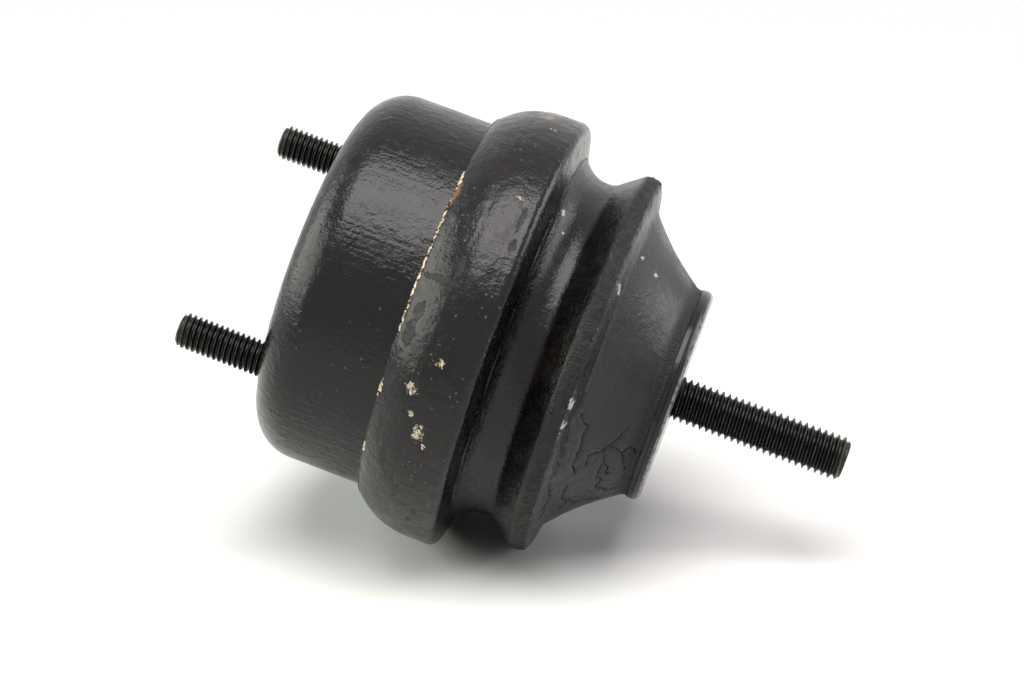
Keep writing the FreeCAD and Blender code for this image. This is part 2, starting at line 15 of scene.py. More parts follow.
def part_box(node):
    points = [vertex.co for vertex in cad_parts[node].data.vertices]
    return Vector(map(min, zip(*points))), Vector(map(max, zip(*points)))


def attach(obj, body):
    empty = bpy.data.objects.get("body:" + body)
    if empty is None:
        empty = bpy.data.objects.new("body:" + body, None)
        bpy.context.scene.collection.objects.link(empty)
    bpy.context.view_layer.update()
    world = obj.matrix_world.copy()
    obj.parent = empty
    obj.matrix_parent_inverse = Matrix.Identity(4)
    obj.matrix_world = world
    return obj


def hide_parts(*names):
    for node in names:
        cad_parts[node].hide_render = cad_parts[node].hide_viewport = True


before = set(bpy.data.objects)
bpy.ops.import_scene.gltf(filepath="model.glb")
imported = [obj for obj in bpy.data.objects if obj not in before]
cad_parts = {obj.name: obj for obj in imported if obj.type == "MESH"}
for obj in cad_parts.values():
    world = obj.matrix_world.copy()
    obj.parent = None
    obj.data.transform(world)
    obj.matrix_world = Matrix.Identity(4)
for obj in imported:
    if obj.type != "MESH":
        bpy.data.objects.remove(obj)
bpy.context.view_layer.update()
MM = 0.001
FULL_TURN = 2 * math.pi

# ------------------------------------------------------------------ how it lies and how it is seen

CAMERA_AIM = Vector((0.93, 0.65, 47.34)) * MM
CAMERA_DISTANCE = 0.5571
CAMERA_AZIMUTH = 34.89    # degrees round the mount's axis, from -Y towards +X
CAMERA_HEIGHT = 4.63      # degrees above the plane of the mount's own bolted face
CAMERA_LEAN = 20.50       # degrees that the top stud points below the picture's horizontal
CAMERA_LENS = 87.9
LYING_ANGLE = 59.7        # degrees round the axis of the side that lies on the table

# ------------------------------------------------------------------ light

Lamp = namedtuple("Lamp", "name turn height distance size radiance colour")
LAMPS = (                 # turn: degrees round the table from the camera's side, height: above it
    Lamp("overhead", 8, 74, 1.10, (0.88, 0.84), 6.6, (1.0, 0.965, 0.955)),
    Lamp("left_wall", -88, 25, 1.20, (1.28, 0.86), 4.4, (0.95, 1.0, 0.92)),
    Lamp("right_wall", 97, 22, 1.20, (0.92, 0.60), 4.3, (1.0, 0.98, 1.0)),
)
WORLD_FILL = 0.02
TABLE_COLOUR = (0.93, 0.93, 0.915, 1)
TABLE_SIZE = 12.0
LIT_RADIUS = 0.22         # out to here the table shows its own light and shadow
WHITE_RADIUS = 0.52       # and from here on it is plain white


def corners_of(node):
    """The (radius, height) of every vertex of a CAD node that is turned about the mount's axis."""
    return [(math.hypot(v.co.x, v.co.y), v.co.z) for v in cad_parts[node].data.vertices]


def resting_plane():
    """The plane that touches the ring and the lip of the rubber: its upward normal and its offset."""
    ring, rubber = corners_of("crimp_ring"), corners_of("rubber_spring")
    ring_radius = max(radius for radius, _ in ring)
    ring_top = max(z for radius, z in ring if radius > ring_radius - 0.1 * MM)
    tilt = min(math.atan2(ring_radius - radius, z - ring_top)
               for radius, z in rubber if z > ring_top + 5 * MM)
    reach = max(radius * math.cos(tilt) + z * math.sin(tilt) for radius, z in ring + rubber)
    side = math.radians(LYING_ANGLE)
    down = Vector((math.cos(side) * math.cos(tilt), math.sin(side) * math.cos(tilt), math.sin(tilt)))
    return -down, reach


def axes_matrix(right, up, back, place):
    """The matrix of a camera or lamp that looks along -back."""
    matrix = Matrix((right, up, back)).transposed().to_4x4()
    matrix.translation = place
    return matrix


def link(name, data, matrix=None):
    """Put a new object into the scene."""
    thing = bpy.data.objects.new(name, data)
    bpy.context.collection.objects.link(thing)
    if matrix is not None:
        thing.matrix_world = matrix
    return thing


def make_camera():
    """The camera, with the mount's axis leaning down to the right of the picture."""
    azimuth, height = math.radians(CAMERA_AZIMUTH), math.radians(CAMERA_HEIGHT)
    back = Vector((math.sin(azimuth) * math.cos(height), -math.cos(azimuth) * math.cos(height),
                   math.sin(height)))
    across = (Vector((0, 0, 1)) - back * back.z).normalized()
    side = back.cross(across)
    lean = math.radians(CAMERA_LEAN)
    right = across * math.cos(lean) + side * math.sin(lean)
    up = side * math.cos(lean) - across * math.sin(lean)
    lens = bpy.data.cameras.new("camera")
    lens.lens = CAMERA_LENS
    lens.clip_end = 50
    camera = link("camera", lens, axes_matrix(right, up, back, CAMERA_AIM + back * CAMERA_DISTANCE))
    bpy.context.scene.camera = camera
    return back


def make_lamp(lamp, up, toward):
    """A soft rectangular lamp that faces the mount."""
    light = bpy.data.lights.new(lamp.name, "AREA")
    light.shape = "RECTANGLE"
    light.size, light.size_y = lamp.size
    light.energy = lamp.radiance * math.pi * lamp.size[0] * lamp.size[1]
    light.color = lamp.colour
    turn, height = math.radians(lamp.turn), math.radians(lamp.height)
    level = toward * math.cos(turn) + up.cross(toward) * math.sin(turn)
    back = level * math.cos(height) + up * math.sin(height)
    right = up.cross(back).normalized()
    link(lamp.name, light, axes_matrix(right, back.cross(right), back, CAMERA_AIM + back * lamp.distance))


def looking_rays(tree):
    """1 for the rays that show the background: from the camera, in reflections and through glass."""
    rays = tree.nodes.new("ShaderNodeLightPath").outputs
    total = rays["Is Camera Ray"]
    for kind in ("Is Glossy Ray", "Is Transmission Ray"):
        node = tree.nodes.new("ShaderNodeMath")
        node.operation = "MAXIMUM"
        tree.links.new(total, node.inputs[0])
        tree.links.new(rays[kind], node.inputs[1])
        total = node.outputs["Value"]
    return total


def light_scene(toward):
    """Soft lamps overhead and on both sides, and a world that is white to look at and dim as light."""
    up, _ = resting_plane()
    for lamp in LAMPS:
        make_lamp(lamp, up, toward)
    world = bpy.data.worlds.new("studio")
    world.use_nodes = True
    tree = world.node_tree
    strength = tree.nodes.new("ShaderNodeMapRange")
    strength.inputs["To Min"].default_value = WORLD_FILL
    strength.inputs["To Max"].default_value = 1.0
    tree.links.new(looking_rays(tree), strength.inputs["Value"])
    tree.links.new(strength.outputs["Result"], tree.nodes["Background"].inputs["Strength"])
    tree.nodes["Background"].inputs["Color"].default_value = (1, 1, 1, 1)
    bpy.context.scene.world = world


# ------------------------------------------------------------------ building a material

class Paint:
    """A material under construction: each method adds one node and returns its output."""

    def __init__(self, name):
        self.material = bpy.data.materials.new(name)
        self.material.use_nodes = True
        self.tree = self.material.node_tree
        self.surface = self.tree.nodes["Principled BSDF"]
        self.place = self.add("ShaderNodeTexCoord").outputs["Object"]

    def put(self, socket, value):
        """Link an output to a socket, or set a plain value on it."""
        if isinstance(value, bpy.types.NodeSocket):
            self.tree.links.new(value, socket)
        else:
            socket.default_value = value

    def add(self, kind, **inputs):
        """One node, with its inputs given by name."""
        node = self.tree.nodes.new(kind)
        for name, value in inputs.items():
            self.put(node.inputs[name], value)
        return node

    def noise(self, size, detail=3.0, rough=0.5, stretch=(1, 1, 1), shift=0.0):
        """Cloudy noise whose lumps are about size millimetres across."""
        scale = 1 / (size * MM)
        node = self.tree.nodes.new("ShaderNodeTexNoise")
        node.inputs["Scale"].default_value = scale
        node.inputs["Detail"].default_value = detail
        node.inputs["Roughness"].default_value = rough
        mapping = self.tree.nodes.new("ShaderNodeMapping")
        mapping.inputs["Scale"].default_value = stretch
        mapping.inputs["Location"].default_value = (shift, shift, shift)
        self.put(mapping.inputs["Vector"], self.place)
        self.put(node.inputs["Vector"], mapping.outputs["Vector"])
        return node.outputs["Fac"]

    def cells(self, size):
        """Cells of about size millimetres: the distance to each cell's centre."""
        node = self.tree.nodes.new("ShaderNodeTexVoronoi")
        node.inputs["Scale"].default_value = 1 / (size * MM)
        self.put(node.inputs["Vector"], self.place)
        return node.outputs["Distance"]

    def ramp(self, value, low, high, start=0.0, end=1.0):
        """Smooth step of a value from low to high."""
        node = self.tree.nodes.new("ShaderNodeMapRange")
        node.interpolation_type = "SMOOTHSTEP"
        for name, number in (("From Min", low), ("From Max", high), ("To Min", start), ("To Max", end)):
            node.inputs[name].default_value = number
        self.put(node.inputs["Value"], value)
        return node.outputs["Result"]

    def sum(self, kind, first, second):
        """Arithmetic on two values."""
        node = self.tree.nodes.new("ShaderNodeMath")
        node.operation = kind
        self.put(node.inputs[0], first)
        self.put(node.inputs[1], second)
        return node.outputs["Value"]

    def mix(self, amount, first, second):
        """Blend two colours."""
        node = self.tree.nodes.new("ShaderNodeMix")
        node.data_type = "RGBA"
        self.put(node.inputs[0], amount)
        self.put(node.inputs[6], first)
        self.put(node.inputs[7], second)
        return node.outputs[2]

    def vector(self, kind, first, second):
        """Arithmetic on two places, giving a place or a number."""
        node = self.tree.nodes.new("ShaderNodeVectorMath")
        node.operation = kind
        self.put(node.inputs[0], first)
        self.put(node.inputs[1], second)
        return node.outputs["Vector" if kind == "SUBTRACT" else "Value"]

    def blend(self, amount, first, second):
        """Blend two shaders."""
        node = self.tree.nodes.new("ShaderNodeMixShader")
        for socket, value in zip(node.inputs, (amount, first, second)):
            self.put(socket, value)
        return node.outputs["Shader"]

    def mark(self, name):
        """A layer of marks that a mesh carries, from 0 to 1."""
        node = self.tree.nodes.new("ShaderNodeAttribute")
        node.attribute_name = name
        return node.outputs["Fac"]

    def height(self):
        """Height up the mount in metres."""
        node = self.tree.nodes.new("ShaderNodeSeparateXYZ")
        self.put(node.inputs["Vector"], self.place)
        return node.outputs["Z"]

    def bump(self, height, depth, below=None):
        """Relief of a number of millimetres, on top of another relief."""
        node = self.tree.nodes.new("ShaderNodeBump")
        node.inputs["Strength"].default_value = 1.0
        node.inputs["Distance"].default_value = depth * MM
        self.put(node.inputs["Height"], height)
        if below is not None:
            self.put(node.inputs["Normal"], below)
        return node.outputs["Normal"]

    def broken_gloss(self, dull):
        """Roughness that rises in fine grain along the axis and in clouds of dull paint."""
        grain = self.ramp(self.noise(0.42, 4.0, rough=0.65, stretch=(1, 1, 0.55)), 0.32, 0.58, 0.14, 0.0)
        clouds = self.ramp(self.noise(5.0, 5.0, shift=15), 0.34, 0.60, 0.07, 0.0)
        return self.sum("ADD", dull, self.sum("ADD", grain, clouds))

    def finish(self, **inputs):
        """Set or link the shader's own sockets."""
        for name, value in inputs.items():
            self.put(self.surface.inputs[name.replace("_", " ")], value)
        return self.material


# ------------------------------------------------------------------ the materials

def can_paint():
    """Gloss black over drawn steel: orange peel, fine draw lines along the axis, pits and specks."""
    paint = Paint("can_paint")
    peel = paint.noise(1.7, 2.0)
    lines = paint.noise(0.9, 3.0, stretch=(1, 1, 0.06))
    blisters = paint.ramp(paint.noise(3.2, 3.0, shift=4), 0.52, 0.75)
    pits = paint.ramp(paint.cells(1.9), 0.10, 0.17, 1.0, 0.0)
    scarce = paint.ramp(paint.noise(9.0, 2.0, shift=7), 0.5, 0.62)
    pits = paint.sum("MULTIPLY", pits, scarce)
    relief = paint.bump(peel, 0.13)
    relief = paint.bump(lines, 0.10, relief)
    relief = paint.bump(paint.noise(0.55, 3.0), 0.075, relief)
    relief = paint.bump(blisters, 0.08, relief)
    relief = paint.bump(paint.sum("SUBTRACT", 1.0, pits), 0.08, relief)
    dull = paint.ramp(paint.noise(3.0, 5.0, stretch=(1, 1, 0.4)), 0.40, 0.64, 0.10, 0.18)
    colour = paint.mix(paint.noise(14.0, 4.0), (0.0008, 0.0008, 0.0008, 1), (0.003, 0.0027, 0.0024, 1))
    colour = paint.mix(pits, colour, (0.05, 0.046, 0.040, 1))
    return paint.finish(Base_Color=colour, Roughness=paint.broken_gloss(dull), Normal=relief,
                        Specular_IOR_Level=0.30)


def ring_paint():
    """Gloss black, blotchy and knocked: chips down to primer, a worn hem, rust stains, dull scabs."""
    paint = Paint("ring_paint")
    ragged = paint.noise(0.8, 5.0, rough=0.7)
    chip = paint.ramp(paint.sum("ADD", paint.mark("chip"), paint.sum("MULTIPLY", ragged, 3.6)), 2.50, 2.62)
    chip = paint.sum("MULTIPLY", chip, paint.ramp(paint.mark("chip"), 0.02, 0.12))
    rust = paint.ramp(paint.sum("ADD", paint.mark("rust"), paint.sum("MULTIPLY", ragged, 1.6)), 1.15, 1.9)
    scab = paint.ramp(paint.sum("ADD", paint.mark("scab"), paint.sum("MULTIPLY", ragged, 1.6)), 1.32, 1.42)
    brown = paint.ramp(paint.noise(7.0, 4.0, shift=3), 0.50, 0.72)
    peel = paint.noise(2.4, 3.0)
    pits = paint.ramp(paint.cells(1.5), 0.12, 0.2, 1.0, 0.0)
    pits = paint.sum("MULTIPLY", pits, paint.ramp(paint.noise(6.0, 2.0, shift=2), 0.46, 0.6))
    colour = paint.mix(paint.noise(11.0, 4.0), (0.0012, 0.0012, 0.001, 1), (0.0045, 0.0045, 0.004, 1))
    colour = paint.mix(paint.sum("MULTIPLY", brown, 0.7), colour, (0.010, 0.0055, 0.004, 1))
    colour = paint.mix(pits, colour, (0.07, 0.065, 0.058, 1))
    colour = paint.mix(scab, colour, (0.0075, 0.0065, 0.0055, 1))
    colour = paint.mix(rust, colour, (0.17, 0.085, 0.035, 1))
    flake = paint.mix(paint.ramp(paint.noise(0.5, 4.0, shift=8), 0.35, 0.65),
                      (0.16, 0.12, 0.07, 1), (0.62, 0.56, 0.42, 1))
    hem = paint.ramp(paint.height(), 28.5 * MM, 29.3 * MM, 1.0, 0.0)
    flake = paint.mix(hem, flake, (0.68, 0.58, 0.40, 1))
    colour = paint.mix(chip, colour, flake)
    dull = paint.ramp(paint.noise(4.0, 5.0, shift=1), 0.40, 0.64, 0.11, 0.22)
    dull = paint.sum("ADD", dull, paint.sum("MULTIPLY", scab, 0.30))
    dull = paint.sum("ADD", dull, paint.sum("MULTIPLY", chip, 0.35))
    relief = paint.bump(peel, 0.22)
    relief = paint.bump(paint.noise(0.7, 3.0), 0.085, relief)
    relief = paint.bump(paint.sum("SUBTRACT", 1.0, pits), 0.05, relief)
    relief = paint.bump(paint.sum("SUBTRACT", 1.0, paint.sum("MAXIMUM", chip, scab)), 0.10, relief)
    return paint.finish(Base_Color=colour, Roughness=paint.broken_gloss(dull), Normal=relief,
                        Specular_IOR_Level=0.30)


def spring_rubber():
    """Painted rubber, satin with a leathery skin: matt torn edge at the lip, dark cracks, pale chips."""
    paint = Paint("spring_rubber")
    line = paint.sum("ABSOLUTE", paint.mark("line"), 0.0)
    thin = paint.sum("ADD", line, paint.sum("MULTIPLY", paint.noise(0.8, 3.0, shift=12), 0.16))
    crack = paint.sum("MULTIPLY", paint.ramp(thin, 0.14, 0.24, 1.0, 0.0), paint.mark("crack"))
    torn = paint.mark("torn")
    ragged = paint.noise(0.8, 5.0, rough=0.7)
    chip = paint.ramp(paint.sum("ADD", paint.mark("chip"), paint.sum("MULTIPLY", ragged, 2.6)), 1.98, 2.10)
    smooth = paint.mark("cone")
    base = paint.mix(smooth, (0.0018, 0.0015, 0.0014, 1), (0.010, 0.0095, 0.0125, 1))
    spots = paint.ramp(paint.noise(2.2, 4.0), 0.55, 0.75)
    base = paint.mix(paint.sum("MULTIPLY", spots, 0.3), base, (0.016, 0.015, 0.016, 1))
    base = paint.mix(paint.sum("MULTIPLY", paint.ramp(paint.noise(9.0, 4.0, shift=5), 0.48, 0.7), 0.6),
                     base, (0.007, 0.0045, 0.0032, 1))
    fibres = paint.mix(paint.ramp(ragged, 0.3, 0.75), (0.0012, 0.001, 0.0009, 1),
                       (0.012, 0.0105, 0.0095, 1))
    base = paint.mix(torn, base, fibres)
    base = paint.mix(crack, base, (0.001, 0.001, 0.001, 1))
    base = paint.mix(chip, base, (0.42, 0.41, 0.40, 1))
    dull = paint.ramp(paint.noise(3.5, 4.0), 0.40, 0.66, 0.16, 0.23)
    dull = paint.sum("ADD", dull, paint.sum("MULTIPLY", smooth, 0.07))
    dull = paint.sum("ADD", dull, paint.sum("MULTIPLY", torn, 0.26))
    dull = paint.sum("ADD", dull, paint.sum("MULTIPLY", crack, 0.40))
    relief = paint.bump(paint.noise(0.65, 3.0), 0.095)
    relief = paint.bump(paint.noise(2.2, 2.0, shift=3), 0.10, relief)
    hairs = paint.sum("MULTIPLY", paint.noise(0.45, 4.0, stretch=(1, 1, 0.5)), torn)
    relief = paint.bump(hairs, 0.45, relief)
    relief = paint.bump(paint.sum("SUBTRACT", 1.0, crack), 0.12, relief)
    return paint.finish(Base_Color=base, Roughness=paint.broken_gloss(dull), Normal=relief,
                        Specular_IOR_Level=0.28)


def disc_paint():
    """Satin black with small knocks and a pale rim that is partly rubbed paint and partly a painted
    reflection of the bright backdrop at a grazing angle.
    """
    paint = Paint("disc_paint")
    height = paint.height()
    top = cad_top("armature")
    rim = paint.ramp(height, top - 0.75 * MM, top - 0.45 * MM)
    # Pale band on the rim's top edge: partly rubbed paint, partly a painted reflection of the bright
    # backdrop at a grazing angle.
    worn = paint.sum("MULTIPLY", rim, paint.ramp(paint.noise(1.1, 5.0, rough=0.6), 0.30, 0.62))
    colour = paint.mix(paint.noise(6.0, 4.0), (0.0025, 0.0025, 0.003, 1), (0.008, 0.0075, 0.008, 1))
    colour = paint.mix(worn, colour, (0.20, 0.195, 0.195, 1))
    dull = paint.ramp(paint.noise(3.0, 4.0, shift=1), 0.40, 0.66, 0.16, 0.26)
    ridge = paint.ramp(paint.sum("ABSOLUTE", paint.sum("SUBTRACT", height, top - 1.5 * MM), 0.0),
                       0.12 * MM, 0.3 * MM, 1.0, 0.0)
    relief = paint.bump(paint.noise(1.3, 3.0), 0.05)
    relief = paint.bump(ridge, 0.12, relief)
    return paint.finish(Base_Color=colour, Roughness=dull, Normal=relief, Specular_IOR_Level=0.30)


def stud_oxide():
    """Black oxide, oily brown in the roots, with thread crests made lighter: partly rubbed oxide, partly
    painted glints.
    """
    paint = Paint("stud_oxide")
    crest = paint.mark("crest")
    # Lighter thread crests: partly rubbed oxide, partly painted glints on the crests.
    rubbed = paint.sum("MULTIPLY", paint.ramp(crest, 0.55, 0.95),
                       paint.ramp(paint.noise(1.6, 4.0), 0.36, 0.60))
    colour = paint.mix(paint.noise(2.5, 4.0), (0.0012, 0.001, 0.001, 1), (0.005, 0.004, 0.003, 1))
    colour = paint.mix(rubbed, colour, (0.042, 0.040, 0.036, 1))
    tip = paint.mark("tip")
    colour = paint.mix(paint.sum("MULTIPLY", tip, 0.6), colour, (0.045, 0.048, 0.036, 1))
    dull = paint.ramp(paint.noise(1.2, 3.0), 0.35, 0.65, 0.18, 0.30)
    relief = paint.bump(paint.noise(0.5, 3.0), 0.03)
    return paint.finish(Base_Color=colour, Roughness=dull, Normal=relief, Specular_IOR_Level=0.20)


def hidden_metal(name, dark, light, metallic, rough):
    """Plain mottled metal for the pieces inside."""
    paint = Paint(name)
    colour = paint.mix(paint.noise(5.0, 4.0), dark, light)
    relief = paint.bump(paint.noise(0.7, 3.0), 0.03)
    dull = paint.ramp(paint.noise(2.0, 3.0), 0.35, 0.65, rough - 0.08, rough + 0.08)
    return paint.finish(Base_Color=colour, Metallic=metallic, Roughness=dull, Normal=relief)


def table_white():
    """White sheet: lit and shaded near the mount, plain white further off, clear from below."""
    paint = Paint("table_white")
    tree = paint.tree
    paint.finish(Base_Color=TABLE_COLOUR, Roughness=0.9)
    normal, reach = resting_plane()
    centre = CAMERA_AIM - normal * (normal.dot(CAMERA_AIM) + reach)
    away = paint.ramp(paint.vector("DISTANCE", paint.place, centre), LIT_RADIUS, WHITE_RADIUS)
    glow = paint.add("ShaderNodeEmission", Color=(1, 1, 1, 1), Strength=1.0)
    blend = paint.blend(paint.sum("MULTIPLY", away, looking_rays(tree)),
                        paint.surface.outputs["BSDF"], glow.outputs["Emission"])
    below = tree.nodes.new("ShaderNodeNewGeometry").outputs["Backfacing"]
    clear = paint.blend(below, blend, tree.nodes.new("ShaderNodeBsdfTransparent").outputs["BSDF"])
    paint.put(tree.nodes["Material Output"].inputs["Surface"], clear)
    return paint.material


# ------------------------------------------------------------------ turned pieces

def cad_top(node):
    """Height of the top of a CAD node."""
    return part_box(node)[1][2]


def section(node, centre=0.0):
    """The outline of a turned CAD node's section, in order, as (radius, height) in metres."""
    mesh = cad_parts[node].data
    neighbours = {}

    def corner(vertex):
        return round(vertex.co.x - centre, 6), round(vertex.co.z, 6)

    def on_seam(vertex):
        return abs(vertex.co.y) < 2e-6 and vertex.co.x - centre > -1e-6

    for edge in mesh.edges:
        ends = [mesh.vertices[index] for index in edge.vertices]
        first, second = (corner(end) for end in ends)
        if first != second and all(on_seam(end) for end in ends):
            neighbours.setdefault(first, []).append(second)
            neighbours.setdefault(second, []).append(first)
    loose = sorted(place for place, others in neighbours.items() if len(set(others)) == 1)
    here = loose[0] if loose else min(neighbours, key=lambda place: place[1])
    path, seen = [here], {here}
    while True:
        ahead = [place for place in neighbours[here] if place not in seen]
        if not ahead:
            return path, bool(loose)
        here = ahead[0]
        seen.add(here)
        path.append(here)


def cut_fine(start, end, step):
    """Points from start to just before end, at most a step apart."""
    count = max(1, math.ceil(math.dist(start, end) / step))
    return [tuple(a + (b - a) * k / count for a, b in zip(start, end)) for k in range(count)]


def shown_run(path, first, last, step):
    """A closed section turned to start at one corner, fine up to the last corner, with its flags."""
    at = path.index(first)
    path = path[at:] + path[:at]
    stop = path.index(last)
    rows, fine = [], []
    for index, place in enumerate(path):
        ahead = path[(index + 1) % len(path)]
        points = cut_fine(place, ahead, step if index < stop else 1.0)
        rows += points
        fine += [index <= stop] * len(points) if index != stop else [True] + [False] * (len(points) - 1)
    return rows, fine


Spot = namedtuple("Spot", "layer angle height across along depth")


def turn_between(first, second):
    """The smaller turn between two angles in degrees."""
    return (first - second + 180) % 360 - 180


def spot_weight(spot, angle, height, radius, ragged):
    """How strongly a mark shows at a place, from 0 outside it to 1 in its middle."""
    aside = math.radians(turn_between(angle, spot.angle)) * radius / spot.across
    up = (height - spot.height) / spot.along
    off = math.hypot(aside, up) + 0.5 * ragged
    return max(0.0, min(1.0, 1.6 - 1.2 * off))


def off_line(points, angle, height, radius):
    """Signed distance in millimetres from a line of (angle, height) points, and if it is past an end."""
    best, past = 1e9, False
    last = len(points) - 2
    for index, ((a0, h0), (a1, h1)) in enumerate(zip(points, points[1:])):
        x0 = math.radians(turn_between(a0, angle)) * radius
        dx, dh = math.radians(a1 - a0) * radius, h1 - h0
        share = (-x0 * dx + (height - h0) * dh) / (dx * dx + dh * dh)
        along = max(0.0, min(1.0, share))
        off = math.hypot(x0 + dx * along, h0 + dh * along - height)
        if off < abs(best):
            best = math.copysign(off, dx * (height - h0) + dh * x0)
            past = (index == 0 and share < 0) or (index == last and share > 1)
    return best, past


def smooth_step(low, high, value):
    """0 below low, 1 above high and a smooth curve between."""
    share = max(0.0, min(1.0, (value - low) / (high - low)))
    return share * share * (3 - 2 * share)


def rough(place, size, shift=0.0):
    """Smooth noise from -1 to 1 with lumps of a size in millimetres."""
    return noise.noise(Vector((place.x / size + shift, place.y / size, place.z / size)))


def turned_mesh(name, rows, fine, columns, wear, layers, on_axis=False):
    """A closed turned mesh whose fine rows are worn: wear gives a depth and the layers' values."""
    mesh = bpy.data.meshes.new(name)
    body = bmesh.new()
    stores = {layer: body.verts.layers.float.new(layer) for layer in layers}
    rings = []
    count = len(rows)
    area = sum(a[0] * b[1] - b[0] * a[1] for a, b in zip(rows, rows[1:] + rows[:1]))
    left = math.copysign(1, area)
    for index, (radius, height) in enumerate(rows):
        before, after = rows[index - 1], rows[(index + 1) % count]
        along = Vector((after[0] - before[0], after[1] - before[1]))
        if along.length == 0:
            along = Vector((0, 1))
        inward = Vector((-along.y, along.x)).normalized() * left
        if radius < 1e-6:
            rings.append([body.verts.new((0, 0, height))])
            continue
        ring = []
        for column in range(columns):
            angle = FULL_TURN * column / columns
            out = Vector((math.cos(angle), math.sin(angle), 0))
            place = out * radius + Vector((0, 0, height))
            marks = None
            if fine[index]:
                depth, marks = wear(math.degrees(angle), height / MM, radius / MM, place / MM)
                place += (out * inward.x + Vector((0, 0, inward.y))) * depth * MM
            vertex = body.verts.new(place)
            for layer, value in (marks or {}).items():
                vertex[stores[layer]] = value
            ring.append(vertex)
        rings.append(ring)
    pairs = list(zip(rings, rings[1:])) + ([] if on_axis else [(rings[-1], rings[0])])
    for low, high in pairs:
        bridge(body, low, high, columns)
    bmesh.ops.recalc_face_normals(body, faces=body.faces)
    body.to_mesh(mesh)
    body.free()
    smooth(mesh)
    return mesh


def bridge(body, low, high, columns):
    """Faces between two rings of vertices, either of which may be one point on the axis."""
    for column in range(columns):
        ahead = (column + 1) % columns
        corners = []
        for ring, order in ((low, (column, ahead)), (high, (ahead, column))):
            corners += [ring[0]] if len(ring) == 1 else [ring[k] for k in order]
        body.faces.new(corners)


def smooth(mesh, sharp=48):
    """Smooth shading with edges kept sharp past an angle in degrees."""
    mesh.polygons.foreach_set("use_smooth", [True] * len(mesh.polygons))
    mesh.set_sharp_from_angle(angle=math.radians(sharp))


def place_piece(name, mesh, material, node):
    """Put a piece in the place of a CAD node."""
    piece = link(name, mesh)
    mesh.materials.append(material)
    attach(piece, "root")
    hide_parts(node)
    return piece


# ------------------------------------------------------------------ the rolled ring

RING_STEP = 0.42 * MM
RING_COLUMNS = 640
RING_SPOTS = [
    Spot("rust", -87, 28.5, 3.6, 0.9, 0.05), Spot("chip", -92, 28.0, 3.2, 0.55, 0.10),
    Spot("chip", -76, 28.0, 6.0, 0.50, 0.08), Spot("chip", -68, 28.0, 7.0, 0.45, 0.08),
    Spot("chip", -58, 28.0, 6.0, 0.42, 0.06), Spot("chip", -49, 28.0, 4.0, 0.34, 0.06),
    Spot("chip", -29, 28.0, 2.6, 0.55, 0.08), Spot("chip", -8, 28.0, 2.0, 0.40, 0.06),
    Spot("rust", -127, 39.0, 2.4, 1.8, 0.03), Spot("chip", -118, 41.5, 0.5, 1.2, 0.04),
    Spot("chip", -43, 39.0, 1.1, 1.3, 0.15), Spot("chip", -34, 35.0, 1.6, 1.7, 0.12),
    Spot("chip", -24, 39.0, 2.0, 1.8, 0.15), Spot("chip", -21, 41.0, 0.9, 0.7, 0.12),
    Spot("chip", -28, 36.5, 0.8, 0.8, 0.10),
    Spot("scab", -53, 31.0, 2.2, 1.3, 0.12), Spot("scab", -47, 30.5, 3.2, 1.4, 0.12),
    Spot("scab", -83, 44.0, 4.0, 0.7, 0.12), Spot("scab", -75, 44.5, 1.6, 0.8, 0.12),
    Spot("chip", -88, 42.0, 0.6, 1.2, 0.05),
    Spot("scab", -62, 33.0, 1.0, 4.0, 0.06), Spot("scab", -66, 36.0, 2.6, 0.9, 0.08),
    Spot("scab", -12, 33.5, 3.5, 0.9, 0.06), Spot("scab", -3, 37.5, 2.8, 1.0, 0.06),
    Spot("scab", -18, 31.0, 2.0, 0.6, 0.05), Spot("scab", 3, 42.5, 1.8, 0.6, 0.06),
    Spot("scab", 8, 41.5, 1.2, 0.5, 0.06), Spot("scab", -7, 35.5, 1.6, 1.6, 0.05),
    Spot("chip", -140, 31.0, 2.4, 0.4, 0.06), Spot("chip", 150, 28.0, 5.0, 0.4, 0.08),
    Spot("rust", 120, 30.0, 3.0, 1.5, 0.04), Spot("chip", 95, 41.0, 1.3, 1.0, 0.10),
    Spot("scab", 40, 40.0, 3.0, 1.5, 0.06), Spot("chip", 60, 28.0, 6.0, 0.3, 0.06),
]
RING_CREASES = ((36.9, 0.50, 0.05), (43.0, 0.5, 0.05), (44.6, 0.3, 0.06))


def ring_wear(angle, height, radius, place):
    """Dents, creases that rolling left, a ragged hem, and the marks of the paint."""
    ragged = rough(place, 0.9, 3.0)
    depth = 0.10 * (1 + rough(place, 9.0)) + 0.05 * (1 + rough(place, 3.0, 5.0))
    for level, width, deep in RING_CREASES:
        sway = 0.25 * rough(place, 12.0, 9.0)
        depth += deep * math.exp(-((height - level - sway) / width) ** 2)
    values = {"chip": 0.0, "rust": 0.0, "scab": 0.0}
    for spot in RING_SPOTS:
        if abs(height - spot.height) > 2.5 * spot.along:
            continue
        weight = spot_weight(spot, angle, height, radius, ragged)
        values[spot.layer] = max(values[spot.layer], weight)
        depth += spot.depth * weight
    return depth, values


def make_ring():
    """The rolled ring, worn on its outside from the hem to the fold."""
    path, _ = section("crimp_ring")
    hem = min(path, key=lambda place: place[1])
    fold = max(path, key=lambda place: place[1])
    widest = max(radius for radius, _ in path)
    at = path.index(hem)
    path = path[at:] + path[:at]
    if max(radius for radius, _ in path[:path.index(fold)]) < widest:
        path = path[:1] + path[:0:-1]
    rows, fine = shown_run(path, hem, fold, RING_STEP)
    mesh = turned_mesh("crimp_ring_worn", rows, fine, RING_COLUMNS, ring_wear, ("chip", "rust", "scab"))
    place_piece("crimp_ring_worn", mesh, ring_paint(), "crimp_ring")


# ------------------------------------------------------------------ the rubber spring

